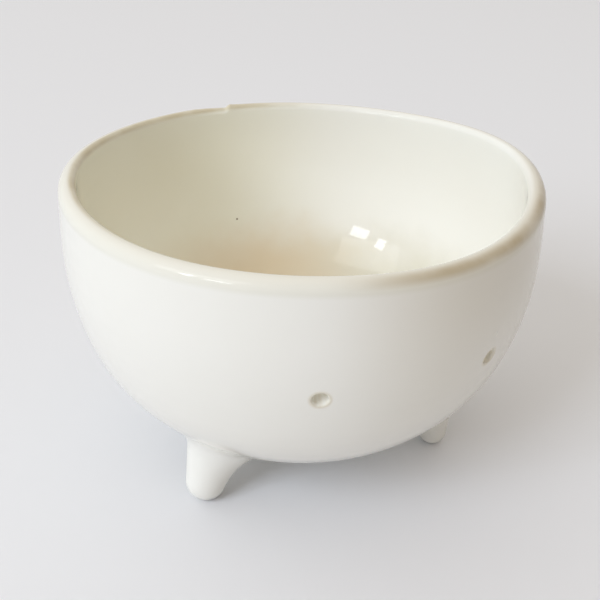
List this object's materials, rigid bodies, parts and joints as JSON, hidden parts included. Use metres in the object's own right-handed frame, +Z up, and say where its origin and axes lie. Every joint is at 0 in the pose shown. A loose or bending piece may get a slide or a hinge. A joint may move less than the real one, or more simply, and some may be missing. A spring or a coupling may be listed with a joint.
{
  "type": "yarn bowl",
  "caption": "Deep round glazed bowl that holds a ball of yarn, with small yarn holes in its wall, a notch in its rim and short cone feet.",
  "frame": {"origin": "on the table, under the bowl's axis", "axes": "+Z up along the bowl's axis, -Y towards the side with the yarn holes, +Y towards the rim notch and the back foot"},
  "size_m": [0.15, 0.15, 0.0983],
  "materials": {
    "glaze": "glossy warm white glaze over pale clay"
  },
  "bodies": {
    "root": {"bowl": "glaze", "foot_front_left": "glaze", "foot_front_right": "glaze", "foot_back": "glaze", "seam_coil_front_left": "glaze", "seam_coil_front_right": "glaze", "seam_coil_back": "glaze"}
  },
  "joints": []
}
